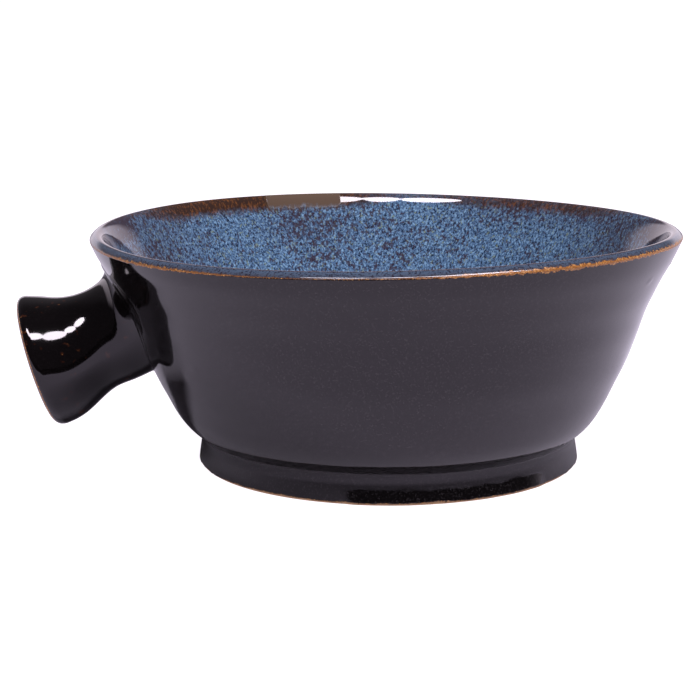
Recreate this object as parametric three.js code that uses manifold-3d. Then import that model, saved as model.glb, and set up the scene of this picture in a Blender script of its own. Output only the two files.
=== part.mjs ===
// Shaving mug: a hand-thrown stoneware lather bowl on a turned foot ring, with a hollow
// trumpet handle luted to one side. Everything is fired together and nothing moves.
// Millimetres, +Z up. The foot stands on z = 0, the handle points along -X, and the origin
// is the middle of the object's outline on that plane.
import * as THREE from 'three';
import { mergeVertices } from 'three/addons/utils/BufferGeometryUtils.js';
import Module from 'manifold-3d';

// ---- Driving dimensions -------------------------------------------------------------

const RIM_RADIUS = 70.2;         // outer edge of the lip
const RIM_HEIGHT = 56;           // crest of the lip above the foot
const LIP_DROP = 1.3;            // the lip slopes down this far from crest to outer edge
const LIP_WIDTH = 1.9;           // from crest to outer edge, seen from above
const FOOT_RADIUS = 46.3;        // glazed foot where it stands
const FOOT_HEIGHT = 7.2;         // crease between foot and wall
const FOOT_FLARE = 0.7;          // the foot spreads this much from crease to floor
const BARE_EDGE = 0.6;           // unglazed line around the bottom of the foot
const FOOT_BORE_RADIUS = 38.4;   // inside of the foot ring
const FOOT_EDGE = 0.25;          // sponged outer edge under the foot
const FOOT_INNER_BEVEL = 0.8;
const RECESS_DEPTH = 5;          // turned recess under the floor
const FLOOR_TOP = 9.5;           // inside of the bowl at its centre
const GLAZE = 0.4;               // thickness of a fired glaze coat
const GAP = 0.3;                 // room left where pieces are cut to each other
const SEAT = GAP - GLAZE;        // from the wall's glazed face to pieces that sit GAP off its clay

const HANDLE_TILT = THREE.MathUtils.degToRad(22.4);   // handle axis below horizontal
const HANDLE_ROOT_X = -60;       // where the handle axis leaves the wall, from the bowl axis
const HANDLE_ROOT_Z = 33.3;
const HANDLE_LENGTH = 25.5;      // wall to open end, along the handle axis
const HANDLE_WAIST_RADIUS = 12;
const HANDLE_MOUTH_RADIUS = 16;
const HANDLE_END_SLOPE = -0.105; // the open end leans, from being wired off out of square
const HANDLE_GLAZE_DEPTH = 13;   // glaze reaches this far into the open handle
const SLIP_WIDTH = 1.8;          // bead of joining slip around the handle's root
const SLIP_HEIGHT = 1.1;

const BOWL_SEGMENTS = 48;
const HANDLE_SEGMENTS = 28;
const MERGE_DISTANCE = 1e-5;
const BOWL_AXIS_X = 8.9;        // moves the bowl so that the outline is centred on the origin

// ---- Profiles: [radius, height] pairs -------------------------------------------------

const toPoints = (pairs) => pairs.map(([r, h]) => new THREE.Vector2(r, h));

// A smooth line through a few template points.
function smooth(pairs, steps) {
  return new THREE.SplineCurve(toPoints(pairs)).getPoints(steps);
}

// Moves an open profile sideways, to the left of its direction, with mitred corners.
function offset(points, distance) {
  const leftOf = (a, b) => {
    const along = b.clone().sub(a).normalize();
    return new THREE.Vector2(-along.y, along.x);
  };
  return points.map((point, i) => {
    const before = i > 0 ? leftOf(points[i - 1], point) : leftOf(point, points[i + 1]);
    const after = i < points.length - 1 ? leftOf(point, points[i + 1]) : before;
    const mitre = before.clone().add(after).divideScalar(1 + before.dot(after));
    return point.clone().addScaledVector(mitre, distance);
  });
}

const footSkin = toPoints([
  [FOOT_RADIUS, BARE_EDGE],
  [FOOT_RADIUS - 0.1, 1.6],
  [FOOT_RADIUS - 0.8 * FOOT_FLARE, 4.2],
]);

const wallSkin = smooth([
  [FOOT_RADIUS - FOOT_FLARE, FOOT_HEIGHT],
  [48.8, 10],
  [53.6, 18],
  [58.3, 28],
  [62, 38],
  [67, 48],
  [RIM_RADIUS, RIM_HEIGHT - LIP_DROP],
], 9);

const lipCrest = RIM_RADIUS - LIP_WIDTH;
const lipSkin = smooth([
  [RIM_RADIUS, RIM_HEIGHT - LIP_DROP],
  [lipCrest, RIM_HEIGHT],
  [lipCrest - 1.7, RIM_HEIGHT - 1.7],
], 4);

const insideSkin = smooth([
  [lipCrest - 1.7, RIM_HEIGHT - 1.7],
  [62.7, 47],
  [57.6, 37.5],
  [52.6, 27],
  [45.5, 16.5],
  [32, 10.8],
  [16, 9.7],
  [0, FLOOR_TOP],
], 10);

const outerSkin = [...footSkin, ...wallSkin];
const innerSkin = [...lipSkin, ...insideSkin.slice(1)];
const wholeSkin = [...outerSkin, ...innerSkin.slice(1)];
const wholeClay = offset(wholeSkin, GLAZE);
wholeClay.at(-1).x = 0;
const outerClay = wholeClay.slice(0, outerSkin.length);
const innerClay = wholeClay.slice(outerSkin.length - 1);
const wallClay = outerClay.slice(footSkin.length);
const footClay = outerClay.slice(0, footSkin.length + 1);
const footTop = wallClay[0];

const handleOuterSkin = smooth([
  [HANDLE_WAIST_RADIUS + 1.5, -7],
  [HANDLE_WAIST_RADIUS + 3.9, -4.8],
  [HANDLE_WAIST_RADIUS + 4.2, -2.4],
  [HANDLE_WAIST_RADIUS + 2.2, 0.5],
  [HANDLE_WAIST_RADIUS + 0.8, 3],
  [HANDLE_WAIST_RADIUS, 9.5],
  [HANDLE_WAIST_RADIUS + 1.7, 16.5],
  [HANDLE_MOUTH_RADIUS - 0.65, 20],
  [HANDLE_MOUTH_RADIUS, HANDLE_LENGTH - 2.4],
], 9);
const handleLipSkin = smooth([
  [HANDLE_MOUTH_RADIUS, HANDLE_LENGTH - 2.4],
  [HANDLE_MOUTH_RADIUS - 0.8, HANDLE_LENGTH - 0.6],
  [HANDLE_MOUTH_RADIUS - 2.6, HANDLE_LENGTH],
  [HANDLE_MOUTH_RADIUS - 4.4, HANDLE_LENGTH - 1.1],
], 4);
const handleBoreSkin = smooth([
  [HANDLE_MOUTH_RADIUS - 4.4, HANDLE_LENGTH - 1.1],
  [HANDLE_MOUTH_RADIUS - 5.8, HANDLE_LENGTH - 6],
  [HANDLE_WAIST_RADIUS - 3.7, HANDLE_LENGTH - HANDLE_GLAZE_DEPTH],
], 4);
const handleSkin = [...handleOuterSkin, ...handleLipSkin.slice(1), ...handleBoreSkin.slice(1)];
const handleClay = offset(handleSkin, GLAZE);

// The handle's middle line bows up at both ends: [rise, distance from the wall] pairs.
const handleBow = smooth([
  [4, -2.6],
  [2.8, 0],
  [1.4, 3],
  [0.3, 9.5],
  [-0.4, 16.5],
  [1.2, HANDLE_LENGTH],
], 40);

// ---- Solids ---------------------------------------------------------------------------

const wasm = await Module();
wasm.setup();

function toSolid(geometry) {
  geometry.deleteAttribute('normal');
  geometry.deleteAttribute('uv');
  const merged = mergeVertices(geometry, MERGE_DISTANCE);
  return new wasm.Manifold(new wasm.Mesh({
    numProp: 3,
    vertProperties: merged.attributes.position.array,
    triVerts: new Uint32Array(merged.index.array),
  }));
}

function toGeometry(solid) {
  const mesh = solid.getMesh();
  const geometry = new THREE.BufferGeometry();
  geometry.setAttribute('position', new THREE.BufferAttribute(mesh.vertProperties, mesh.numProp));
  geometry.setIndex(new THREE.BufferAttribute(mesh.triVerts, 1));
  geometry.computeVertexNormals();
  return geometry;
}

// A profile turned about the bowl's upright axis.
function turned(points) {
  const geometry = new THREE.LatheGeometry(points, BOWL_SEGMENTS);
  geometry.rotateX(Math.PI / 2);
  return geometry;
}

function bowAt(along) {
  const after = handleBow.findIndex((point) => point.y > along);
  if (after === 0) return handleBow[0].x;
  if (after < 0) return handleBow.at(-1).x;
  const low = handleBow[after - 1];
  const high = handleBow[after];
  return THREE.MathUtils.mapLinear(along, low.y, high.y, low.x, high.x);
}

// A profile turned about the handle's axis, then bowed: heights run outwards from the wall.
function turnedOnHandle(points) {
  const geometry = new THREE.LatheGeometry(points, HANDLE_SEGMENTS);
  geometry.rotateX(Math.PI / 2);
  const { position } = geometry.attributes;
  for (let i = 0; i < position.count; i += 1) {
    const up = position.getX(i);
    const along = position.getZ(i);
    position.setX(i, up + bowAt(along));
    position.setZ(i, along + HANDLE_END_SLOPE * up);
  }
  geometry.rotateY(-(Math.PI / 2 + HANDLE_TILT));
  geometry.translate(HANDLE_ROOT_X, 0, HANDLE_ROOT_Z);
  return geometry;
}

const closed = (points) => [...points, points[0]];
const coat = (skin, clay) => closed([...skin, ...clay.toReversed()]);

// Everything inside the glazed wall, grown outwards: cuts pieces that sit on the wall.
function wallSolid(grow) {
  const wall = offset(wallSkin, -grow);
  const base = toPoints([[0, 0], [wall[0].x, 0]]);
  return toSolid(turned([...base, ...wall, new THREE.Vector2(0, wall.at(-1).y)]));
}

// Everything inside the handle's outline, grown outwards.
function handleSolid(grow) {
  const outline = offset(handleOuterSkin, -grow);
  const ends = [new THREE.Vector2(0, outline[0].y), new THREE.Vector2(0, outline.at(-1).y)];
  return toSolid(turnedOnHandle([ends[0], ...outline, ends[1]]));
}

// ---- Sub-parts ------------------------------------------------------------------------

const bareClay = { color: 0xa9795c, roughness: 0.9, metalness: 0 };
const blackGlaze = { color: 0x15110f, roughness: 0.12, metalness: 0 };
const blueGlaze = { color: 0x3c5a7d, roughness: 0.15, metalness: 0 };

function part(name, geometry, finish) {
  const mesh = new THREE.Mesh(geometry, new THREE.MeshStandardMaterial(finish));
  mesh.name = name;
  return mesh;
}

// Thrown wall and floor, with a step underneath that seats in the foot ring.
function bowlBody() {
  const underside = toPoints([
    [0, RECESS_DEPTH],
    [FOOT_BORE_RADIUS, RECESS_DEPTH],
    [FOOT_BORE_RADIUS, footTop.y],
  ]);
  return part('bowl_body', turned([...underside, ...wallClay, ...innerClay.slice(1)]), bareClay);
}

// Turned foot: stands on a flat ring, with its inner edge broken.
function footRing() {
  const outside = footClay.at(0).x;
  const outline = [
    ...toPoints([
      [FOOT_BORE_RADIUS + FOOT_INNER_BEVEL, 0],
      [outside - FOOT_EDGE, 0],
      [outside, FOOT_EDGE],
    ]),
    ...footClay,
    ...toPoints([
      [FOOT_BORE_RADIUS, footTop.y],
      [FOOT_BORE_RADIUS, FOOT_INNER_BEVEL],
    ]),
  ];
  return part('foot_ring', turned(closed(outline)), bareClay);
}

function baseGlaze() {
  const low = RECESS_DEPTH - GLAZE;
  const outline = toPoints([
    [0, low],
    [FOOT_BORE_RADIUS, low],
    [FOOT_BORE_RADIUS, RECESS_DEPTH],
    [0, RECESS_DEPTH],
  ]);
  return part('base_glaze', turned(outline), blackGlaze);
}

function innerGlaze() {
  return part('inner_glaze', turned([...innerClay.toReversed(), ...innerSkin]), blueGlaze);
}

// Open window in the wall's glaze, where the handle was joined clay to clay.
function outerGlaze() {
  const shell = toSolid(turned(coat(outerSkin, outerClay)));
  return part('outer_glaze', toGeometry(shell.subtract(handleSolid(SLIP_WIDTH + 2 * GAP))), blackGlaze);
}

// Hollow thrown trumpet, cut to the wall's curve at its root.
function handle() {
  const boreRoot = toPoints([[HANDLE_WAIST_RADIUS - 3.9, 6], [HANDLE_WAIST_RADIUS - 3.4, -7]]);
  const trumpet = toSolid(turnedOnHandle(closed([...handleClay, ...boreRoot])));
  return part('handle', toGeometry(trumpet.subtract(wallSolid(SEAT))), bareClay);
}

function handleGlaze() {
  const shell = toSolid(turnedOnHandle(coat(handleSkin, handleClay)));
  return part('handle_glaze', toGeometry(shell.subtract(wallSolid(SEAT))), blackGlaze);
}

// Slip bead that runs around the handle's root on the wall.
function handleJoint() {
  const bead = handleSolid(SLIP_WIDTH + GAP).intersect(wallSolid(SLIP_HEIGHT - GLAZE));
  const fitted = bead.subtract(wallSolid(SEAT)).subtract(handleSolid(GAP));
  return part('handle_joint', toGeometry(fitted), blackGlaze);
}

const mug = new THREE.Group();
mug.position.x = BOWL_AXIS_X;
mug.add(
  bowlBody(),
  footRing(),
  handle(),
  handleJoint(),
  outerGlaze(),
  innerGlaze(),
  handleGlaze(),
  baseGlaze(),
);

export default mug;
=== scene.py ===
"""Shaving mug: a thrown stoneware lather bowl with a trumpet handle, glazed black and blue.

Shapes are worked out in millimetres about the bowl's axis and written to meshes in metres.
"""
import math

import bmesh
import bpy
import numpy as np
from mathutils import Matrix, Vector


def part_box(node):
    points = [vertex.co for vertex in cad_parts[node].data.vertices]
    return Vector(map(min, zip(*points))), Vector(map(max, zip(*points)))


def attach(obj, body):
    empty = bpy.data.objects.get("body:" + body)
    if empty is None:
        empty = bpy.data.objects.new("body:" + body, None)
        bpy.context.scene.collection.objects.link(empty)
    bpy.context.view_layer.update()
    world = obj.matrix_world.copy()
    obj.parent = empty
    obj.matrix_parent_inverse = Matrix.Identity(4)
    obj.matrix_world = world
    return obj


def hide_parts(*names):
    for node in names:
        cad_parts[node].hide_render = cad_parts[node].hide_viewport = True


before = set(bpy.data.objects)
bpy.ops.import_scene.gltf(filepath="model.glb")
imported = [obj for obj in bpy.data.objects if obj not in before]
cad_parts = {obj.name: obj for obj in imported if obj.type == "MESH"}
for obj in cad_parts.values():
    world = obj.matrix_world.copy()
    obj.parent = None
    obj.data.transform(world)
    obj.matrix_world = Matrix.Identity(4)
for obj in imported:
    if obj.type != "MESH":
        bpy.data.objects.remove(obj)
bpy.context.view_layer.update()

MM = 0.001

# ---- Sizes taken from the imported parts, in millimetres --------------------------------


def sides(node):
    """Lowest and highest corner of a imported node, in millimetres."""
    low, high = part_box(node)
    return np.array(low) / MM, np.array(high) / MM


foot_low, foot_high = sides("foot_ring")
liner_low, liner_high = sides("inner_glaze")
base_low, base_high = sides("base_glaze")
mouth_low, mouth_high = sides("handle_glaze")

AXIS_X = (foot_low[0] + foot_high[0]) / 2
RIM_RADIUS = (liner_high[1] - liner_low[1]) / 2
RIM_HEIGHT = liner_high[2]
GLAZE = base_high[2] - base_low[2]
FLOOR_TOP = liner_low[2] + GLAZE
FOOT_CLAY_RADIUS = (foot_high[1] - foot_low[1]) / 2
FOOT_BORE_RADIUS = (base_high[1] - base_low[1]) / 2
RECESS_TOP = base_low[2]
MOUTH_RADIUS = (mouth_high[1] - mouth_low[1]) / 2

# ---- Sizes of the hand work, in millimetres --------------------------------------------

FOOT_HEIGHT = 6.9
FOOT_TRIM = 0.35
FOOT_SKIN_RADIUS = FOOT_CLAY_RADIUS + GLAZE
CREASE_RADIUS = FOOT_SKIN_RADIUS - 0.96
BARE_EDGE = 0.55
LIP_DROP = 1.3
LIP_WIDTH = 2.1
FOOT_DRIFT = 0.25
RIM_DRIFT = 0.7
RING_PITCH = 7.7
RING_INSIDE = 0.006
RING_OUTSIDE = 0.024
SWIRL_PITCH = 8.5
SWIRL_RISE = 0.16

POOL_CENTRE = math.radians(-75.2)
POOL_CREST = 3.3
POOL_RAGGED = 0.28
POOL_SLOPE = 0.10
CREASE_CENTRE = math.radians(-48.0)
CREASE_TUCK = 0.22

WAIST_RADIUS = 12.0
BORE_RADIUS = WAIST_RADIUS - 3.6
BORE_END_RADIUS = WAIST_RADIUS - 3.2
HANDLE_TILT = math.radians(22.4)
HANDLE_ROOT = np.array([-60.0, 0.0, 33.3])
HANDLE_LENGTH = 25.5
END_SLOPE = -0.105
GLAZE_DEPTH = 13.0
BEAD_WIDTH = 1.9
BEAD_HEIGHT = 0.55
BEAD_SINK = 0.35

# Small lumps under the glaze: angle, height, size and rise.
PIMPLES = (
    (math.radians(-33.0), 47.5, 0.8, 0.16),
    (math.radians(-20.0), 49.5, 0.7, 0.12),
    (math.radians(-141.0), 30.0, 0.9, 0.10),
    (math.radians(70.0), 24.0, 0.9, 0.12),
)

# The angle of the view about the upright axis, from which the rim's wave is measured too.
VIEW_TURN = math.radians(4.0)

# How many points go round a piece, and the values of marks where a pattern is out of reach.
WALL_COLUMNS = 360
HANDLE_COLUMNS = 200
UNDERSIDE = 5.0
LINER_UNDERSIDE = 30.0
AWAY_FROM_MOUTH = 9.0
AWAY_FROM_WAIST = 20.0

# ---- Curves ----------------------------------------------------------------------------


def fair_curve(template, step):
    """Points about every step along a natural cubic spline through a few template points."""
    knots = np.array(template, float)
    gaps = np.linalg.norm(np.diff(knots, axis=0), axis=1)
    where = np.concatenate([[0.0], np.cumsum(gaps)])
    system = np.eye(len(knots))
    pull = np.zeros_like(knots)
    for i in range(1, len(knots) - 1):
        before, after = gaps[i - 1], gaps[i]
        system[i, i - 1:i + 2] = before, 2 * (before + after), after
        pull[i] = 6 * ((knots[i + 1] - knots[i]) / after - (knots[i] - knots[i - 1]) / before)
    bend = np.linalg.solve(system, pull)
    travel = np.linspace(0, where[-1], max(3, round(where[-1] / step) + 1))
    i = np.clip(np.searchsorted(where, travel, side="right") - 1, 0, len(gaps) - 1)
    gap = gaps[i][:, None]
    past = (travel - where[i])[:, None]
    left = gap - past
    return (
        (bend[i] * left**3 + bend[i + 1] * past**3) / (6 * gap)
        + (knots[i] / gap - bend[i] * gap / 6) * left
        + (knots[i + 1] / gap - bend[i + 1] * gap / 6) * past
    )


def travel_along(points):
    """Distance along a line of points, from its first point."""
    steps = np.linalg.norm(np.diff(points, axis=0), axis=1)
    return np.concatenate([[0.0], np.cumsum(steps)])


def eased_join(first, second, reach, count):
    """Two lines that meet at a corner, with the corner rounded over reach on either side."""
    corner = first[-1]
    gone, ahead = travel_along(first), travel_along(second)
    kept = first[gone < gone[-1] - reach]
    rest = second[ahead > reach]
    start = np.array([np.interp(gone[-1] - reach, gone, first[:, k]) for k in (0, 1)])
    end = np.array([np.interp(reach, ahead, second[:, k]) for k in (0, 1)])
    t = np.linspace(0, 1, count)[:, None]
    rounded = (1 - t) ** 2 * start + 2 * t * (1 - t) * corner + t**2 * end
    return np.vstack([kept, rounded, rest])


def inward(points, distance):
    """An outline moved to the left of its direction: from a glaze's skin to the clay under it."""
    along = np.gradient(points, axis=0)
    along /= np.linalg.norm(along, axis=1)[:, None]
    return points + distance * np.column_stack([-along[:, 1], along[:, 0]])


def ripple(points, size, seed, waves=28):
    """Smooth noise of about unit height whose bumps are size across."""
    chance = np.random.default_rng(seed)
    heading = chance.normal(size=(waves, 3))
    heading /= np.linalg.norm(heading, axis=1)[:, None]
    pace = 2 * math.pi / (size * chance.uniform(0.75, 1.6, waves))
    phase = chance.uniform(0, 2 * math.pi, waves)
    swing = np.sin(points @ (heading * pace[:, None]).T + phase)
    return swing.sum(axis=-1) * math.sqrt(2 / waves)


def ease(value, low, high):
    """0 below low, 1 above high and a smooth change between them."""
    t = np.clip((value - low) / (high - low), 0, 1)
    return t * t * (3 - 2 * t)


def turn_gap(angle, centre):
    """Angle from centre, the short way round, in radians."""
    return np.abs((angle - centre + math.pi) % (2 * math.pi) - math.pi)


# ---- Outline of the bowl: radius and height --------------------------------------------

foot_line = fair_curve([
    (FOOT_SKIN_RADIUS, BARE_EDGE),
    (FOOT_SKIN_RADIUS - 0.13, 1.6),
    (FOOT_SKIN_RADIUS - 0.43, 3.6),
    (FOOT_SKIN_RADIUS - 0.72, 5.4),
    (CREASE_RADIUS, FOOT_HEIGHT),
], 0.2)
wall_line = fair_curve([
    (CREASE_RADIUS, FOOT_HEIGHT),
    (48.9, 10.0),
    (53.7, 18.0),
    (58.4, 28.0),
    (62.0, 38.0),
    (66.9, 48.0),
    (69.1, 52.2),
    (RIM_RADIUS, RIM_HEIGHT - LIP_DROP),
], 0.45)
crest_radius = RIM_RADIUS - LIP_WIDTH
inside_line = fair_curve([
    (RIM_RADIUS, RIM_HEIGHT - LIP_DROP),
    (RIM_RADIUS - 0.75, RIM_HEIGHT - 0.55),
    (RIM_RADIUS - 1.5, RIM_HEIGHT - 0.12),
    (crest_radius, RIM_HEIGHT),
    (crest_radius - 0.75, RIM_HEIGHT - 0.3),
    (crest_radius - 1.45, RIM_HEIGHT - 1.15),
    (crest_radius - 2.15, RIM_HEIGHT - 2.4),
    (crest_radius - 3.2, RIM_HEIGHT - 4.6),
    (62.7, 46.7),
    (60.3, 41.7),
    (55.8, 32.5),
    (50.9, 23.4),
    (45.0, 16.3),
    (32.0, 10.9),
    (16.0, 9.7),
    (0.0, FLOOR_TOP),
], 0.3)


def thinned(line, keep_until, every):
    """Keeps all of a line's first stretch and then only some points, its last one among them."""
    number = np.arange(len(line))
    kept = (travel_along(line) < keep_until) | (number % every == 0) | (number == len(line) - 1)
    return line[kept]


outer_line = eased_join(foot_line, wall_line, reach=2.6, count=15)
liner_line = thinned(inside_line, keep_until=6.0, every=3)
skin_line = eased_join(outer_line, liner_line, reach=0.42, count=9)
edge_index = int(np.argmin(np.linalg.norm(skin_line - outer_line[-1], axis=1)))
skin_travel = travel_along(skin_line)
from_edge = skin_travel - skin_travel[edge_index]
clay_line = inward(skin_line, GLAZE)
clay_line[-1, 0] = 0.0


def rim_wave(angle):
    """How far the rim rises and dips around the bowl, from being lifted off the wheel."""
    turn = angle + VIEW_TURN
    lean = 0.12 * np.cos(turn) - 0.15 * np.sin(turn)
    saddle = -0.06 * np.cos(2 * turn) - 0.55 * np.sin(2 * turn)
    return lean + saddle + 0.03 * np.sin(3 * turn)


def wall_radius(height):
    """Radius of the glazed wall at a height, before the hand's unevenness."""
    return np.interp(height, outer_line[:, 1], outer_line[:, 0])


def share_of_height(height):
    """0 at the table and 1 at the rim."""
    return np.clip(height / RIM_HEIGHT, 0, 1)


def drift(height):
    """How far the bowl's middle stands off its axis at a height, towards +X."""
    return FOOT_DRIFT - RIM_DRIFT * share_of_height(height)


def pool(angle):
    """Where the glaze ran and pooled around the front of the foot."""
    return ease(turn_gap(angle, POOL_CENTRE), 0.57, 0.51)


def foot_work(radius, height, angle):
    """What trimming takes off the foot's radius and pooled glaze adds to it."""
    unrolled = np.stack([40 * angle, 0 * angle, 0 * angle], axis=-1)
    crest = POOL_CREST + POOL_RAGGED * ripple(unrolled, 5.0, 7)
    flare = POOL_SLOPE * np.clip(crest - height, 0, 9) * pool(angle)
    trim = FOOT_TRIM * ease(9 - height, 0, 3)
    tuck = CREASE_TUCK * np.exp(-((height - FOOT_HEIGHT) / 0.5) ** 2)
    tuck = tuck * ease(turn_gap(angle, CREASE_CENTRE), 0.75, 0.3)
    return (flare - tuck - trim) * ease(radius - FOOT_BORE_RADIUS, 2, 6)


def throwing_rings(radius, height, angle):
    """Faint spiral ridges that fingers leave in the wall, softer on the inside."""
    outside = ease(radius - wall_radius(height), -1.2, -0.6)
    wave = np.sin(2 * math.pi * height / RING_PITCH + angle + 0.8 * np.sin(height / 9))
    between = ease(height, 9, 16) * ease(RIM_HEIGHT - height, 0.5, 5)
    return (RING_INSIDE + RING_OUTSIDE * outside) * wave * between


def floor_swirl(radius, height, angle):
    """The shallow spiral on the bowl's floor."""
    wave = np.sin(2 * math.pi * radius / SWIRL_PITCH - angle)
    on_floor = ease(20 - height, 0, 4) * ease(height, 8.6, 9.0)
    return SWIRL_RISE * wave * ease(34 - radius, 0, 8) * ease(radius, 1.5, 8) * on_floor


def circle(angle, radius=1.0):
    """Points on a level circle about the upright axis."""
    return np.stack([np.cos(angle), np.sin(angle), 0 * angle], axis=-1) * radius


def thrown(radius, height, angle):
    """Places outline points on the bowl as the hand left it: waved rim, rings, dents, lumps."""
    radius, height, angle = np.broadcast_arrays(radius, height, angle)
    lift = share_of_height(height)
    wide = radius + 0.05 * lift + foot_work(radius, height, angle)
    wide = wide + throwing_rings(radius, height, angle)
    place = np.stack([wide * np.cos(angle), wide * np.sin(angle), height], axis=-1)
    dent = 0.04 * ripple(place, 36, 1) + 0.002 * ripple(place, 5.0, 2)
    dent = dent * ease(height, 1.5, 9) * ease(radius, 8, 30)
    out = circle(angle)
    place = place + dent[..., None] * out
    for at, level, size, rise in PIMPLES:
        wall = wall_radius(level)
        top = np.array([wall * math.cos(at), wall * math.sin(at), level])
        gap = np.linalg.norm(place - top, axis=-1)
        place = place + (rise * np.exp(-(gap / size) ** 2))[..., None] * out
    place[..., 0] += drift(height)
    place[..., 2] += lift**2 * rim_wave(angle) * ease(radius, 30, 60)
    place[..., 2] += floor_swirl(radius, height, angle)
    return place


# ---- Mesh making -----------------------------------------------------------------------


SAME_POINT = 1e-7  # metres: points nearer than this, such as those at a pole, become one


def ring_mesh(name, points, material, slot, replaces, poles=False, marks=None):
    """A piece from a grid of points that closes round its columns and round its rows or poles."""
    rows, columns = points.shape[:2]
    index = np.arange(rows * columns).reshape(rows, columns)
    if not poles:
        index = np.vstack([index, index[:1]])
    across = np.roll(index, -1, axis=1)
    quads = np.stack([index[:-1], across[:-1], across[1:], index[1:]], axis=-1).reshape(-1, 4)
    flat = (points.reshape(-1, 3) + np.array([AXIS_X, 0, 0])) * MM
    mesh = bpy.data.meshes.new(name)
    mesh.from_pydata(flat.tolist(), [], quads.tolist())
    for mark, values in (marks or {}).items():
        layer = mesh.attributes.new(mark, "FLOAT", "POINT")
        spread = np.broadcast_to(values, (rows, columns)).reshape(-1)
        layer.data.foreach_set("value", spread.astype(np.float32))
    shape = bmesh.new()
    shape.from_mesh(mesh)
    bmesh.ops.remove_doubles(shape, verts=shape.verts, dist=SAME_POINT)
    bmesh.ops.recalc_face_normals(shape, faces=shape.faces)
    shape.to_mesh(mesh)
    shape.free()
    mesh.polygons.foreach_set("use_smooth", [True] * len(mesh.polygons))
    mesh.materials.append(material)
    piece = bpy.data.objects.new(name, mesh)
    bpy.context.collection.objects.link(piece)
    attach(piece, "root")
    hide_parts(replaces)
    return piece


def angles(columns):
    """A row of angles once around, for a grid's columns."""
    return np.linspace(0, 2 * math.pi, columns, endpoint=False)[None, :]


def column(values):
    """Values down the rows of a grid."""
    return np.asarray(values, float)[:, None]


# ---- Shader writing --------------------------------------------------------------------


class Socket:
    """A node's output in an expression: each operator adds the Math node that it stands for."""

    def __init__(self, finish, output):
        self.finish = finish
        self.output = output

    def maths(self, operation, *values):
        sockets = dict(enumerate(values))
        return self.finish.node("Math", {"operation": operation}, sockets)

    def __add__(self, other):
        return self.maths("ADD", self, other)

    def __sub__(self, other):
        return self.maths("SUBTRACT", self, other)

    def __rsub__(self, other):
        return self.maths("SUBTRACT", other, self)

    def __mul__(self, other):
        return self.maths("MULTIPLY", self, other)

    def __truediv__(self, other):
        return self.maths("DIVIDE", self, other)

    __radd__ = __add__
    __rmul__ = __mul__


class Finish:
    """The nodes of a material or a world, written as expressions on sockets."""

    def __init__(self, owner):
        self.owner = owner
        owner.use_nodes = True
        self.tree = owner.node_tree
        self.tree.nodes.clear()

    def node(self, kind, settings=None, sockets=None, output=0):
        """Adds a node: its settings are set first, then its sockets get values or links."""
        node = self.tree.nodes.new("ShaderNode" + kind)
        for name, value in (settings or {}).items():
            setattr(node, name, value)
        for key, value in (sockets or {}).items():
            if isinstance(value, Socket):
                self.tree.links.new(value.output, node.inputs[key])
            else:
                node.inputs[key].default_value = value
        return Socket(self, node.outputs[output]) if len(node.outputs) else None

    def place(self, stretch=(1, 1, 1)):
        """Where a point is on the mug, in metres; a squeezed axis draws its texture out."""
        coordinates = self.node("TexCoord", output="Object")
        return self.node("Mapping", None, {"Vector": coordinates, "Scale": stretch})

    def mark(self, name):
        """A number that the mesh holds at each point."""
        return self.node("Attribute", {"attribute_name": name}, output="Fac")

    def grain(self, size_mm, detail=2.0, rough=0.5, stretch=(1, 1, 1)):
        """Noise from 0 to 1 whose patches are about size_mm across."""
        sockets = {"Vector": self.place(stretch), "Scale": 1 / (size_mm * MM)}
        sockets.update({"Detail": detail, "Roughness": rough})
        return self.node("TexNoise", None, sockets)

    def cells(self, size_mm):
        """Distance to the nearest of a scatter of points about size_mm apart."""
        sockets = {"Vector": self.place(), "Scale": 1 / (size_mm * MM)}
        return self.node("TexVoronoi", None, sockets)

    def step(self, value, low, high):
        """0 at low and 1 at high, with a smooth change between them, either way round."""
        sockets = {"Value": value, "From Min": low, "From Max": high}
        sockets.update({"To Min": 0.0, "To Max": 1.0})
        return self.node("MapRange", {"interpolation_type": "SMOOTHSTEP"}, sockets)

    def blend(self, first, second, mask):
        """Two colours mixed by a mask."""
        return self.node("Mix", {"data_type": "RGBA"}, {0: mask, 6: first, 7: second}, output=2)

    def sine(self, value):
        """The sine of a socket, in radians."""
        return self.node("Math", {"operation": "SINE"}, {0: value})

    def surface(self, colour, roughness, height=None, depth_mm=0.02, **constants):
        """The finished shader: colour, roughness and relief vary, other values are constant."""
        sockets = {"Base Color": colour, "Roughness": roughness}
        if height is not None:
            relief = {"Height": height, "Distance": depth_mm * MM, "Strength": 1.0}
            sockets["Normal"] = self.node("Bump", None, relief)
        sockets.update({name.replace("_", " "): value for name, value in constants.items()})
        shader = self.node("BsdfPrincipled", None, sockets)
        self.node("OutputMaterial", None, {"Surface": shader})
        return self.owner


def new_finish(name):
    """An empty material, ready for its nodes."""
    return Finish(bpy.data.materials.new(name))


def rgb(red, green, blue):
    """A colour in linear light."""
    return (red, green, blue, 1.0)


# ---- Glazes and clay -------------------------------------------------------------------

GLOSS_CAST = rgb(1.0, 0.95, 1.0)
GLASSY = {"IOR": 1.45, "Specular_Tint": GLOSS_CAST}

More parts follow.
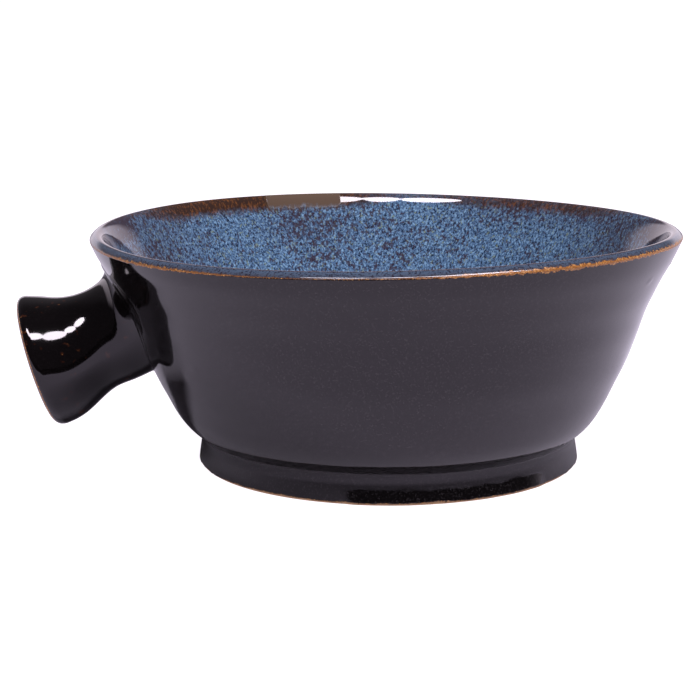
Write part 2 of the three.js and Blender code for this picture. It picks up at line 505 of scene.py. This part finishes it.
BLACK = rgb(0.0016, 0.0012, 0.0014)
TREACLE = rgb(0.016, 0.005, 0.0025)
DUST = rgb(0.018, 0.016, 0.018)
AMBER = rgb(0.185, 0.068, 0.012)
PALE_AMBER = rgb(0.40, 0.205, 0.060)
STONE = rgb(0.36, 0.215, 0.125)
STONE_DARK = rgb(0.21, 0.105, 0.055)
STONE_PALE = rgb(0.48, 0.34, 0.235)
IRON = rgb(0.03, 0.014, 0.008)
NAVY = rgb(0.0070, 0.0100, 0.0210)
BLUE = rgb(0.047, 0.091, 0.169)
MILK_BLUE = rgb(0.138, 0.240, 0.362)
SAGE = rgb(0.150, 0.185, 0.110)
PLUM = rgb(0.026, 0.016, 0.024)
KHAKI = rgb(0.050, 0.028, 0.014)
RUST = rgb(0.100, 0.038, 0.014)
UMBER = rgb(0.024, 0.013, 0.010)
LIP_BLUE = rgb(0.038, 0.060, 0.096)


def golden(finish, mottle):
    """The amber that iron glaze breaks to where it is thinnest."""
    return finish.blend(AMBER, PALE_AMBER, finish.step(mottle, 0.52, 0.70))


def black_glaze(name, thin, flecks, dusty, satin=None, ridges=None):
    """Glossy iron glaze: black where thick, breaking through treacle to amber where thin."""
    finish = new_finish(name)
    thinness = thin(finish)
    speckled = finish.step(finish.grain(9.0, 1.0), 0.50, 0.62)
    speck = finish.step(finish.grain(1.6, 2.0), 0.60, 0.72) * speckled
    brown = finish.step(thinness + speck * flecks, 0.12, 0.6)
    mottle = finish.grain(0.45, 2.0, 0.7)
    amber = finish.step(thinness + speck * (0.45 * flecks) + 1.3 * (mottle - 0.5), 0.50, 0.80)
    dust = finish.step(finish.grain(0.42, 1.0), 0.52, 0.74)
    colour = finish.blend(finish.blend(BLACK, DUST, dust * dusty), TREACLE, brown)
    colour = finish.blend(colour, golden(finish, mottle), amber)
    peel = 0.05 * finish.grain(1.1, 2.0) + 0.12 * finish.grain(6.0, 1.0)
    pitted = finish.step(finish.grain(11.0), 0.50, 0.62)
    pinholes = finish.step(finish.cells(2.6), 0.10, 0.04) * pitted
    roughness = 0.05 + 0.04 * finish.grain(5.0, 3.0) + 0.2 * amber
    height = peel - 0.35 * pinholes - 0.12 * amber
    if satin:
        roughness = roughness + satin(finish)
    if ridges:
        height = height + ridges(finish)
    return finish.surface(colour, roughness, height, 0.035, **GLASSY)


def wall_break(finish):
    """Thin at the lip's sharp outer edge, more on some sides than others, and at the foot."""
    below = finish.mark("below_edge")
    edge = finish.mark("edge_break")
    uneven = finish.step(finish.grain(1.5, 3.0), 0.3, 0.7)
    width = 0.12 + 0.60 * edge * (0.25 + uneven)
    lip = finish.step(below / width, 1.3, 0.2)
    glow = 0.42 * finish.step(below, 1.5, 0.1) * edge * uneven
    foot = finish.step(finish.mark("above_foot"), 0.30, 0.05) * 0.6
    return lip * (0.55 + 0.45 * edge) + glow + foot


def foot_satin(finish):
    """The foot's glaze is thinner and satin, but for the pool at the front."""
    height = finish.mark("height")
    foot = finish.step(height, 7.6, 6.6)
    crest = 3.1 + 2.2 * (finish.grain(4.0, 3.0, 0.6, (1, 1, 0.5)) - 0.5)
    pooled = finish.mark("pool") * finish.step(height - crest, 0.5, -0.2)
    return 0.26 * foot * (1 - pooled)


def handle_break(finish):
    """Thin on the rim of the open end."""
    rim = finish.step(finish.mark("from_mouth"), 0.55, 0.15)
    return rim * (0.55 + 0.45 * finish.grain(3.0, 2.0))


def handle_ridges(finish):
    """Fine turning lines around the handle's waist."""
    along = finish.mark("along")
    waist = finish.step(along, 1.5, 4.0) * finish.step(along, 12.0, 7.5)
    return 0.05 * finish.sine(along * 13.0) * waist


def soft_break(finish):
    """Thin only here and there, as on a surface that faces down."""
    return 0.12 * finish.grain(3.0, 2.0)


def blue_glaze(name):
    """Floating blue: milky speckle over navy, breaking khaki, rust and umber at the lip."""
    finish = new_finish(name)
    drawn = (1, 1, 0.7)
    fine = finish.grain(0.52, 2.0, 0.8, drawn)
    patch = finish.grain(14.0, 2.0)
    colour = finish.blend(BLUE, MILK_BLUE, finish.step(fine, 0.50, 0.66))
    colour = finish.blend(colour, NAVY, finish.step(fine, 0.48, 0.37))
    sage = finish.step(finish.grain(0.8, 2.0, 0.7, drawn), 0.58, 0.68)
    colour = finish.blend(colour, SAGE, sage * 0.6)
    # Painted shade: this mark darkens both ends of the bowl, as seen from the front, towards
    # plum; it also holds the glaze's own plum patches at the back.
    shade_and_plum = finish.mark("shade_and_plum")
    gathered = finish.grain(0.95, 2.0, 0.7, drawn) + 0.5 * (patch - 0.5) + 0.10 * shade_and_plum
    plum = finish.step(gathered, 0.54, 0.66)
    colour = finish.blend(colour, PLUM, plum * 0.85)
    colour = finish.blend(colour, PLUM, shade_and_plum * (0.20 + 0.25 * patch))
    past = finish.mark("past_edge")

    # The band below the lip, where the glaze ran thin and broke.
    rivulet = finish.grain(1.4, 3.0, 0.65, (1, 1, 0.16))
    inner = finish.mark("lip_break")
    ragged = past + 3.0 * (rivulet - 0.5)
    breaking = finish.step(ragged, 3.4 + 5.4 * inner, 2.4 + 3.2 * inner) * (0.35 + 0.65 * inner)
    streak = finish.grain(0.75, 3.0, 0.7, (1, 1, 0.3))
    khaki = finish.mark("khaki")
    dull = finish.step(streak + 0.45 * khaki, 0.62, 0.80) * (0.25 + 0.75 * khaki)
    broken = finish.blend(UMBER, RUST, finish.step(streak, 0.48, 0.68))
    colour = finish.blend(colour, finish.blend(broken, KHAKI, dull), breaking)

    # The bevel on top of the lip, and its sharp outer edge.
    bevel = finish.step(past, 2.3, 1.8) * finish.step(past, 0.0, 0.4)
    bevel_blue = finish.blend(LIP_BLUE, NAVY, finish.step(fine, 0.5, 0.38))
    colour = finish.blend(colour, bevel_blue, bevel * 0.85)
    uneven = finish.step(finish.grain(1.3, 3.0), 0.3, 0.7)
    edge = finish.mark("edge_break")
    mottle = finish.grain(0.45, 2.0, 0.7)
    width = 0.12 + 0.5 * edge * (0.3 + uneven)
    amber = finish.step(past / width - 2.6 * (mottle - 0.5), 1.1, 0.5)
    brown = finish.step(past, 1.5, 0.3) * (0.35 + 0.65 * edge)
    colour = finish.blend(colour, UMBER, brown * (0.4 + 0.5 * uneven))
    colour = finish.blend(colour, golden(finish, mottle), amber * (0.25 + 0.75 * edge))

    satin = finish.step(past, 1.95, 1.45) * finish.step(past, 0.2, 0.6)
    roughness = 0.02 + 0.07 * finish.grain(2.5, 3.0) * finish.step(past, 3.0, 8.0)
    roughness = roughness + 0.80 * finish.step(khaki * breaking, 0.66, 0.78)
    roughness = roughness + 0.10 * satin + 0.3 * amber * edge
    calm = 0.15 + 0.85 * finish.step(past, 4.5, 8.0)
    height = (0.5 * finish.grain(7.0, 1.0) + 0.10 * fine + 0.10 * finish.grain(1.6, 2.0)) * calm
    return finish.surface(colour, roughness, height, 0.03, **GLASSY)


def bare_stoneware(name):
    """Unglazed clay, sponged smooth: sandy grain, pale grog and iron specks."""
    finish = new_finish(name)
    tone = finish.grain(4.0, 4.0)
    sand = finish.grain(0.35, 3.0, 0.7)
    grog = finish.step(finish.cells(0.9), 0.24, 0.12)
    iron = finish.step(finish.cells(1.9), 0.16, 0.07)
    colour = finish.blend(STONE, STONE_DARK, finish.step(tone, 0.35, 0.75) * 0.6)
    colour = finish.blend(colour, STONE_PALE, grog * 0.5)
    colour = finish.blend(colour, IRON, iron * 0.8)
    roughness = 0.78 + 0.16 * sand
    height = sand + 0.7 * grog - 0.5 * iron
    return finish.surface(colour, roughness, height, 0.05)


black_wall = black_glaze("black_glaze_wall", wall_break, 0.2, 0.8, satin=foot_satin)
black_handle = black_glaze("black_glaze_handle", handle_break, 0.9, 0.08, ridges=handle_ridges)
black_base = black_glaze("black_glaze_base", soft_break, 0.6, 0.3)
blue_liner = blue_glaze("blue_glaze_liner")
stoneware = bare_stoneware("bare_stoneware")

# ---- Bowl ------------------------------------------------------------------------------


def edge_break(angle):
    """How much the glaze breaks at the lip's edge around the bowl: most at the right front."""
    right_front = ease(turn_gap(angle, math.radians(-48)), 0.85, 0.40)
    left_front = 0.6 * ease(turn_gap(angle, math.radians(-146)), 0.55, 0.15)
    back = 0.5 * ease(turn_gap(angle, math.radians(110)), 1.1, 0.5)
    return 0.12 + 0.88 * np.clip(right_front + left_front + back, 0, 1)


def lip_break(angle):
    """How much the liner breaks brown below the lip: most at the back, towards the handle."""
    left_back = ease(turn_gap(angle, math.radians(117)), 0.80, 0.35)
    right_back = 0.7 * ease(turn_gap(angle, math.radians(50)), 0.6, 0.3)
    return np.clip(left_back + right_back, 0, 1)


def khaki(angle):
    """Where the broken liner is duller and khaki, at the back."""
    return ease(turn_gap(angle, math.radians(104.5)), 0.19, 0.14)


def shade_and_plum(angle, past):
    """Painted shade, duller and purpler, at both ends of the bowl as seen from the front, and two
    plum patches in the glaze at the back.
    """
    off_centre = turn_gap(angle, math.radians(84))
    near_lip = ease(10 - past, 0, 3)
    ends = 0.8 * ease(off_centre, 0.70, 1.15) + ease(off_centre, 1.10, 1.40) * near_lip
    left = np.exp(-(turn_gap(angle, math.radians(108)) / 0.20) ** 2 - ((past - 12.5) / 4.0) ** 2)
    right = np.exp(-(turn_gap(angle, math.radians(49)) / 0.34) ** 2 - ((past - 5.5) / 4.5) ** 2)
    return np.clip(ends + 0.7 * left + right, 0, 1.8)


def black_coat():
    """Glaze on the wall and foot, ending in a rolled, wandering edge above the bare clay."""
    angle = angles(WALL_COLUMNS)
    outer = skin_line[:edge_index + 1]
    under = clay_line[:edge_index + 1][::-1][::3]
    line = np.vstack([outer, under])
    height = column(line[:, 1])
    ring = circle(angle, FOOT_SKIN_RADIUS)
    wander = 0.07 * ripple(ring, 9.0, 5) + 0.04 * ripple(ring, 2.6, 6)
    height = height + wander * ease(3.0 - height, 0, 2.4)
    points = thrown(column(line[:, 0]), height, angle)
    below = column(np.concatenate([-from_edge[:edge_index + 1], np.full(len(under), UNDERSIDE)]))
    marks = {
        "below_edge": below,
        "above_foot": height - height[0],
        "height": height,
        "pool": pool(angle),
        "edge_break": edge_break(angle),
    }
    return ring_mesh("black_coat", points, black_wall, "black_glaze", "outer_glaze", marks=marks)


def liner_coat():
    """Blue glaze poured inside and over the lip."""
    angle = angles(WALL_COLUMNS)
    skin = skin_line[edge_index:]
    under = clay_line[edge_index:][::-1][::3]
    line = np.vstack([skin, under])
    points = thrown(column(line[:, 0]), column(line[:, 1]), angle)
    past = column(np.concatenate([from_edge[edge_index:], np.full(len(under), LINER_UNDERSIDE)]))
    marks = {
        "past_edge": past,
        "edge_break": edge_break(angle),
        "lip_break": lip_break(angle),
        "khaki": khaki(angle),
        # Painted shade at both ends of the bowl, together with the glaze's plum patches at the
        # back.
        "shade_and_plum": shade_and_plum(angle, past),
    }
    return ring_mesh("blue_liner", points, blue_liner, "blue_glaze", "inner_glaze", marks=marks)


def bowl_clay():
    """The thrown wall and floor, all of it under glaze but the step that seats in the foot."""
    wall_side = clay_line[:edge_index, 1]
    crease = int(np.argmin(np.abs(wall_side - FOOT_HEIGHT)))
    floor = RECESS_TOP + GLAZE
    under = [(0.0, floor), (FOOT_BORE_RADIUS, floor), (FOOT_BORE_RADIUS, wall_side[crease])]
    line = np.vstack([under, clay_line[crease::4], [[0.0, clay_line[-1, 1]]]])
    points = thrown(column(line[:, 0]), column(line[:, 1]), angles(WALL_COLUMNS // 2))
    return ring_mesh("bowl_clay", points, stoneware, "bare_stoneware", "bowl_body", poles=True)


def foot_clay():
    """The turned foot, bare along its standing edge and inside face."""
    ring = fair_curve([
        (FOOT_BORE_RADIUS, RECESS_TOP),
        (FOOT_BORE_RADIUS + 0.05, 2.6),
        (FOOT_BORE_RADIUS + 0.25, 1.0),
        (FOOT_BORE_RADIUS + 0.9, 0.12),
        (FOOT_BORE_RADIUS + 1.7, 0.0),
    ], 0.2)
    outside = fair_curve([
        (FOOT_CLAY_RADIUS - 0.35, 0.0),
        (FOOT_CLAY_RADIUS - 0.05, 0.1),
        (FOOT_CLAY_RADIUS + 0.1, 0.4),
        (FOOT_CLAY_RADIUS, 1.2),
        (FOOT_CLAY_RADIUS - 0.6, FOOT_HEIGHT),
    ], 0.12)
    bottom = np.array([[FOOT_BORE_RADIUS + 3.0, 0.0], [FOOT_CLAY_RADIUS - 2.0, 0.0]])
    top = np.array([[FOOT_BORE_RADIUS, FOOT_HEIGHT]])
    line = np.vstack([ring, bottom, outside, top])
    points = thrown(column(line[:, 0]), column(line[:, 1]), angles(WALL_COLUMNS))
    return ring_mesh("foot_clay", points, stoneware, "bare_stoneware", "foot_ring")


def recess_coat():
    """Glaze brushed under the floor, meeting the foot in a soft meniscus."""
    skin = fair_curve([
        (FOOT_BORE_RADIUS + 0.02, RECESS_TOP - 1.1),
        (FOOT_BORE_RADIUS - 0.3, RECESS_TOP - 0.4),
        (FOOT_BORE_RADIUS - 1.3, RECESS_TOP - 0.05),
        (FOOT_BORE_RADIUS - 4, RECESS_TOP),
        (12.0, RECESS_TOP),
        (0.0, RECESS_TOP),
    ], 0.4)
    line = np.vstack([[[0.0, base_high[2]], [FOOT_BORE_RADIUS, base_high[2]]], skin])
    points = thrown(column(line[:, 0]), column(line[:, 1]), angles(WALL_COLUMNS // 2))
    points[..., 2] = np.minimum(points[..., 2], base_high[2])
    return ring_mesh("recess_coat", points, black_base, "black_glaze", "base_glaze", poles=True)


# ---- Handle ----------------------------------------------------------------------------
# Outlines are the radius about the handle's axis and the distance out from the wall.

outward = np.array([-math.cos(HANDLE_TILT), 0.0, -math.sin(HANDLE_TILT)])
upward = np.array([-math.sin(HANDLE_TILT), 0.0, math.cos(HANDLE_TILT)])
sideways = np.array([0.0, 1.0, 0.0])

trumpet_line = fair_curve([
    (WAIST_RADIUS + 6.2, -4.0),
    (WAIST_RADIUS + 4.3, -2.0),
    (WAIST_RADIUS + 2.2, 0.5),
    (WAIST_RADIUS + 0.8, 3.0),
    (WAIST_RADIUS + 0.2, 6.0),
    (WAIST_RADIUS, 9.5),
    (WAIST_RADIUS + 0.65, 13.0),
    (WAIST_RADIUS + 1.9, 16.5),
    (WAIST_RADIUS + 3.2, 20.0),
    (MOUTH_RADIUS - 0.05, 23.2),
], 0.3)
mouth_line = fair_curve([
    (MOUTH_RADIUS - 0.05, 23.2),
    (MOUTH_RADIUS - 0.25, HANDLE_LENGTH - 1.0),
    (MOUTH_RADIUS - 1.0, HANDLE_LENGTH - 0.25),
    (MOUTH_RADIUS - 2.3, HANDLE_LENGTH),
    (MOUTH_RADIUS - 3.6, HANDLE_LENGTH - 0.5),
    (MOUTH_RADIUS - 4.6, HANDLE_LENGTH - 1.9),
    (MOUTH_RADIUS - 5.9, HANDLE_LENGTH - 6.0),
    (BORE_RADIUS, HANDLE_LENGTH - GLAZE_DEPTH),
], 0.25)
mouth_start = len(trumpet_line)
handle_skin = np.vstack([trumpet_line, mouth_line[1:]])
handle_clay_line = inward(handle_skin, GLAZE)
root_line = trumpet_line[trumpet_line[:, 1] >= 0.0]
bow_line = fair_curve([
    (5.6, -4.0),
    (4.4, -2.0),
    (1.0, 3.0),
    (0.26, 9.5),
    (-0.22, 16.5),
    (1.28, HANDLE_LENGTH),
], 0.3)


def centre_shift(along):
    """How far the handle's middle line bows up from its straight axis, from being pressed on."""
    return np.interp(along, bow_line[:, 1], bow_line[:, 0])


def on_handle(radius, along, angle):
    """Places outline points on the handle: radius about its axis, and distance along it."""
    radius, along, angle = np.broadcast_arrays(radius, along, angle)
    share = np.clip(along / HANDLE_LENGTH, 0, 1)
    out = along + END_SLOPE * radius * np.cos(angle) * share
    up = radius * np.cos(angle) + centre_shift(along)
    side = radius * np.sin(angle)
    place = HANDLE_ROOT + out[..., None] * outward + up[..., None] * upward
    place = place + side[..., None] * sideways
    push = np.cos(angle)[..., None] * upward + np.sin(angle)[..., None] * sideways
    dent = 0.015 * ripple(place, 16, 11) + 0.001 * ripple(place, 4.0, 12)
    return place + dent[..., None] * push


def inside_wall(place, depth):
    """Above 0 where a point is inside the glazed wall by more than depth."""
    reach = np.hypot(place[..., 0] - drift(place[..., 2]), place[..., 1])
    return wall_radius(place[..., 2]) - reach - depth


def meet_wall(radius_at, angle, depth):
    """Distance along the handle at which its surface goes depth into the wall, for each angle."""
    low = np.full(angle.shape, -6.0)
    high = np.full(angle.shape, 8.0)
    halvings = 24
    for _ in range(halvings):
        middle = (low + high) / 2
        within = inside_wall(on_handle(radius_at(middle), middle, angle), depth) > 0
        low = np.where(within, middle, low)
        high = np.where(within, high, middle)
    return (low + high) / 2


def trumpet_radius(along):
    """Radius of the handle's glazed outside at a distance out from the wall."""
    return np.interp(along, trumpet_line[:, 1], trumpet_line[:, 0])


def from_root(line, start, angle):
    """Respaces an outline's stretch near the wall so that its first point lies on the wall."""
    first, settle = line[0, 1], 9.0
    stretch = settle - first
    along = np.repeat(column(line[:, 1]), angle.shape[1], axis=1)
    shift = (start - first) * ease(settle - along, 0, stretch)
    squeezed = first + shift + (along - first) * (stretch - shift) / stretch
    return np.where(along < settle, squeezed, along)


def handle_coat():
    """Glaze on the handle, over its open end and a little way in."""
    angle = angles(HANDLE_COLUMNS)
    along = from_root(root_line, meet_wall(trumpet_radius, angle, 0.25), angle)
    skin = on_handle(trumpet_radius(along), along, angle)
    end = handle_skin[mouth_start:]
    mouth = on_handle(column(end[:, 0]), column(end[:, 1]), angle)
    under = handle_clay_line[mouth_start:][::-1][::2]
    lining = on_handle(column(under[:, 0]), column(under[:, 1]), angle)
    back = on_handle(trumpet_radius(along) - GLAZE, along, angle)[::-1][::2]
    points = np.concatenate([skin, mouth, lining, back, skin[:1] - 0.3 * outward])
    mouth_travel = travel_along(handle_skin)[mouth_start:]
    rim = np.argmin(np.abs(end[:, 0] - (MOUTH_RADIUS - 0.6)))
    distance = np.full((len(points), 1), AWAY_FROM_MOUTH)
    distance[len(skin):len(skin) + len(mouth), 0] = np.abs(mouth_travel - mouth_travel[rim])
    outward_travel = np.full(points.shape[:2], AWAY_FROM_WAIST)
    outward_travel[:len(skin)] = along
    marks = {"from_mouth": distance, "along": outward_travel}
    looks = (black_handle, "black_glaze")
    return ring_mesh("handle_coat", points, *looks, "handle_glaze", marks=marks)


def handle_clay():
    """The hollow clay handle, bare deep in its bore."""
    angle = angles(HANDLE_COLUMNS // 2)
    start = meet_wall(trumpet_radius, angle, 0.5)
    along = from_root(root_line[::3], start, angle)
    outer = on_handle(trumpet_radius(along) - GLAZE, along, angle)
    lip = handle_clay_line[mouth_start:]
    end = on_handle(column(lip[:, 0]), column(lip[:, 1]), angle)
    bore = fair_curve([
        (lip[-1, 0], lip[-1, 1]),
        (BORE_RADIUS, 8.0),
        (BORE_RADIUS + 0.2, 4.0),
        (BORE_END_RADIUS, 0.5),
    ], 0.6)[1:]
    inner = on_handle(column(bore[:, 0]), column(bore[:, 1]), angle)
    root = on_handle(BORE_END_RADIUS, start, angle)
    points = np.concatenate([outer, end, inner, root])
    return ring_mesh("handle_clay", points, stoneware, "bare_stoneware", "handle")


def slip_bead():
    """The bead of slip pressed around the handle's root, glazed over."""
    angle = angles(HANDLE_COLUMNS)
    inner = trumpet_radius(meet_wall(trumpet_radius, angle, 0.0)) - BEAD_SINK
    wobble = 1 + 0.12 * ripple(circle(angle, 20), 14, 21)
    wobble = wobble * (1 - 0.6 * ease(-np.cos(angle), 0.2, 0.9))

    def bead_ring(t, depth, height):
        """One ring of the bead: t across it, sunk into the wall by depth and raised by height."""
        ring = inner + (BEAD_WIDTH + BEAD_SINK) * t * wobble
        along = meet_wall(lambda along: ring, angle, depth)
        return on_handle(ring, along + height * wobble, angle)

    rows = []
    for t in np.linspace(0, 1, 13):
        arch = math.sin(math.pi * (0.06 + 0.94 * t)) ** 0.75
        rows.append(bead_ring(t, 0.06, BEAD_HEIGHT * arch))
    for t in (0.9, 0.5, 0.1):
        rows.append(bead_ring(t, 0.3, 0.0))
    points = np.concatenate(rows)
    marks = {"from_mouth": AWAY_FROM_MOUTH, "along": AWAY_FROM_WAIST}
    looks = (black_handle, "black_glaze")
    return ring_mesh("slip_bead", points, *looks, "handle_joint", marks=marks)


bowl_clay()
foot_clay()
black_coat()
liner_coat()
recess_coat()
handle_clay()
handle_coat()
slip_bead()

# ---- Floor, light and camera, in metres and degrees ------------------------------------

FLOOR_REACH = 12.0
SHEET_REACH = 6.0
SHEET_LIFT = 0.0002
CARD_EDGE = -0.145
LAMP_DISTANCE = 1.0
LAMP_AIM = Vector((0, 0, 0.03))
ROOM_CAST = rgb(1.06, 0.94, 1.06)
CAMERA_DISTANCE = 0.463
CAMERA_ELEVATION = 11.52
CAMERA_ROLL = math.radians(-0.23)
CAMERA_LENS = 98.36
AIM_LEFT = 8.98 * MM
AIM_HEIGHT = 25.94 * MM


def flat_sheet(name, half, near, far, lift, material):
    """A level sheet, half to each side of the middle and from near to far along Y."""
    corners = [(-half, near, lift), (half, near, lift), (half, far, lift), (-half, far, lift)]
    mesh = bpy.data.meshes.new(name)
    mesh.from_pydata(corners, [], [(0, 1, 2, 3)])
    mesh.materials.append(material)
    sheet = bpy.data.objects.new(name, mesh)
    bpy.context.collection.objects.link(sheet)
    return sheet


def pale_floor():
    """A wide, plain, pale table that glows a little, as a light table does."""
    finish = new_finish("pale_floor")
    tone = finish.blend(rgb(0.20, 0.19, 0.20), rgb(0.23, 0.22, 0.23), finish.grain(60.0, 3.0))
    shine = {"Emission_Color": rgb(1.04, 1.0, 1.05), "Emission_Strength": 0.95}
    roughness = 0.6 + 0.1 * finish.grain(3.0)
    material = finish.surface(tone, roughness, finish.grain(1.5), 0.01, **shine)
    floor = flat_sheet("floor", FLOOR_REACH, -FLOOR_REACH, FLOOR_REACH, 0.0, material)
    floor.visible_glossy = False


def gloss_sheet(name, colour, near, far):
    """A dull sheet on the table, from near to far along Y, that shows only in the glaze."""
    material = new_finish(name).surface(colour, 0.9, IOR=1.0)
    sheet = flat_sheet(name, SHEET_REACH, near, far, SHEET_LIFT, material)
    sheet.visible_camera = False
    sheet.visible_diffuse = False
    sheet.visible_shadow = False


def direction(azimuth, elevation):
    """Unit vector from the mug: azimuth 0 is towards the front, 90 towards +X."""
    turn, rise = math.radians(azimuth), math.radians(elevation)
    level = math.cos(rise)
    return Vector((math.sin(turn) * level, -math.cos(turn) * level, math.sin(rise)))


def softbox(name, left, right, low, high, radiance):
    """An oval soft light, aimed at the mug, that spans these angles as seen from it."""
    azimuth, elevation = (left + right) / 2, (low + high) / 2
    level = LAMP_DISTANCE * math.cos(math.radians(elevation))
    width = 2 * level * math.tan(math.radians(right - left) / 2)
    height = 2 * LAMP_DISTANCE * math.tan(math.radians(high - low) / 2)
    light = bpy.data.lights.new(name, "AREA")
    light.shape = "ELLIPSE"
    light.size = width
    light.size_y = height
    oval_area = math.pi / 4 * width * height
    light.energy = radiance * math.pi * oval_area
    light.color = GLOSS_CAST[:3]
    lamp = bpy.data.objects.new(name, light)
    way = direction(azimuth, elevation)
    lamp.location = LAMP_AIM + way * LAMP_DISTANCE
    lamp.rotation_euler = way.to_track_quat("Z", "Y").to_euler()
    bpy.context.collection.objects.link(lamp)


def studio():
    """White to the camera; to the glaze, a room pale low behind the mug and dark elsewhere."""
    world = bpy.data.worlds.new("studio")
    bpy.context.scene.world = world
    room = Finish(world)
    way = room.node("TexCoord", output="Generated")
    back = room.node("SeparateXYZ", None, {"Vector": way}, output="Y")
    rise = room.node("SeparateXYZ", None, {"Vector": way}, output="Z")
    behind = room.step(back, -0.12, 0.30)
    low, top = room.step(rise, 0.27, 0.19), room.step(rise, 0.99, 0.60)
    glow = 0.05 + behind * (0.95 * low + 0.08 * top)
    seen = room.node("LightPath", output="Is Camera Ray")
    strength = seen + (1 - seen) * glow
    tint = room.blend(ROOM_CAST, rgb(1.0, 1.0, 1.0), seen)
    background = room.node("Background", None, {"Color": tint, "Strength": strength})
    room.node("OutputWorld", None, {"Surface": background})


def camera():
    """Looks at the mug from the front, turned a little towards the handle."""
    back = direction(-math.degrees(VIEW_TURN), CAMERA_ELEVATION)
    right = Vector((math.cos(VIEW_TURN), -math.sin(VIEW_TURN), 0.0))
    up = back.cross(right)
    aim = Vector((AXIS_X * MM, 0.0, AIM_HEIGHT)) - AIM_LEFT * right
    lens = bpy.data.cameras.new("camera")
    lens.sensor_width = 36.0
    lens.lens = CAMERA_LENS
    view = bpy.data.objects.new("camera", lens)
    rolled_right = math.cos(CAMERA_ROLL) * right + math.sin(CAMERA_ROLL) * up
    rolled_up = -math.sin(CAMERA_ROLL) * right + math.cos(CAMERA_ROLL) * up
    basis = Matrix((rolled_right, rolled_up, back)).transposed().to_4x4()
    view.matrix_world = Matrix.Translation(aim + back * CAMERA_DISTANCE) @ basis
    bpy.context.collection.objects.link(view)
    bpy.context.scene.camera = view


pale_floor()
studio()
gloss_sheet("pale_sheet", rgb(0.57, 0.545, 0.635), near=CARD_EDGE, far=SHEET_REACH)
gloss_sheet("dark_card", rgb(0.004, 0.004, 0.004), near=-SHEET_REACH, far=CARD_EDGE)
softbox("right_panel", 12, 70, 49.5, 66.5, radiance=30)
softbox("middle_panel", -12, 12, 52.5, 64.5, radiance=32)
softbox("left_panel", -51, -12.5, 52.5, 64.5, radiance=32)
camera()
bpy.context.scene.view_settings.view_transform = "Standard"
